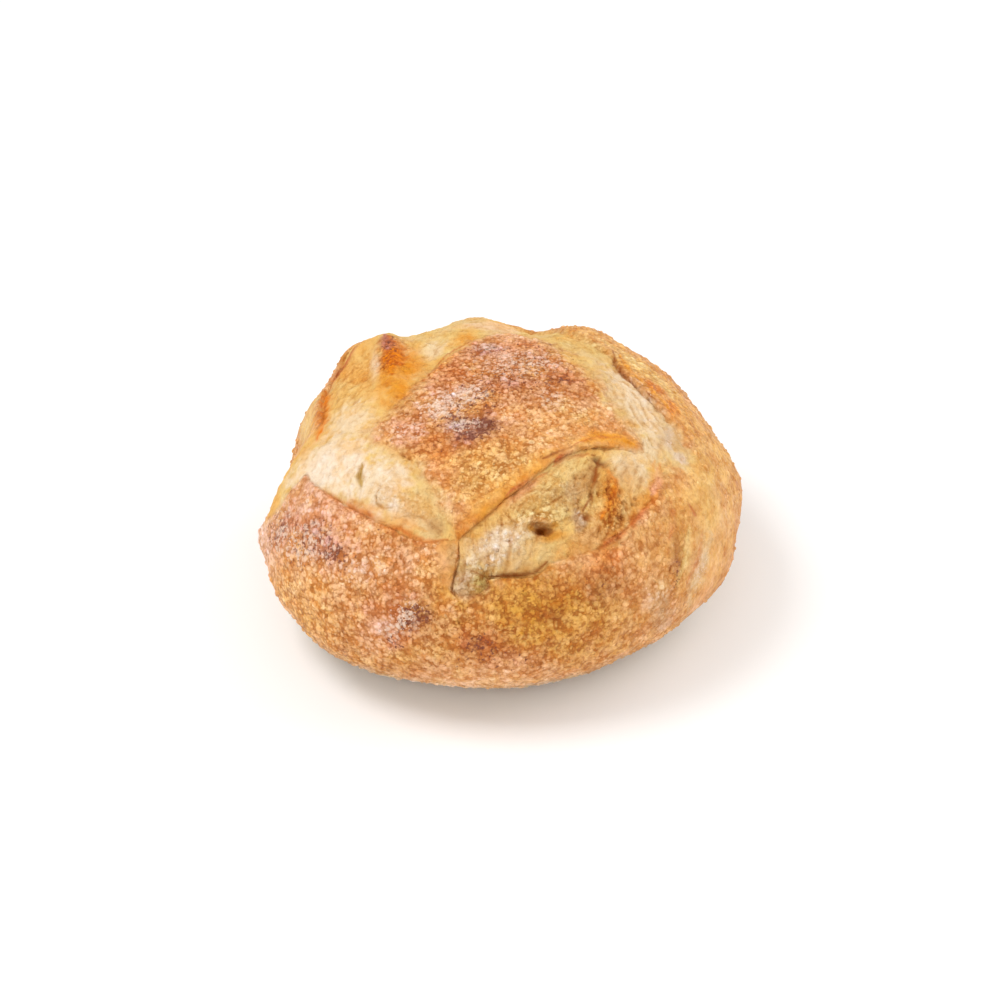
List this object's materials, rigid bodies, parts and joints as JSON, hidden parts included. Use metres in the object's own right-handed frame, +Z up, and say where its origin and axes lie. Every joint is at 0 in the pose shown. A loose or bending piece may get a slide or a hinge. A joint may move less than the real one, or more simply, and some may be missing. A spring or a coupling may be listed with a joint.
{
  "type": "sourdough boule",
  "caption": "Round hand-scored sourdough loaf with a blistered golden crust, a browned panel on top and torn pale crumb where the slashes opened; rests on its flat base.",
  "frame": {"origin": "centre of the flat base, under the middle of the loaf's plan box", "axes": "+Z up through the crown; -Y is the front, where two slashes cross low on the loaf; +X is to the right seen from the front, towards the deeper tear"},
  "size_m": [0.2106, 0.199, 0.1065],
  "materials": {
    "crust": "baked bread crust, matte to faintly satin, blistered, with pale floury crumb in the tears"
  },
  "bodies": {
    "root": {"boule": "crust"}
  },
  "joints": []
}
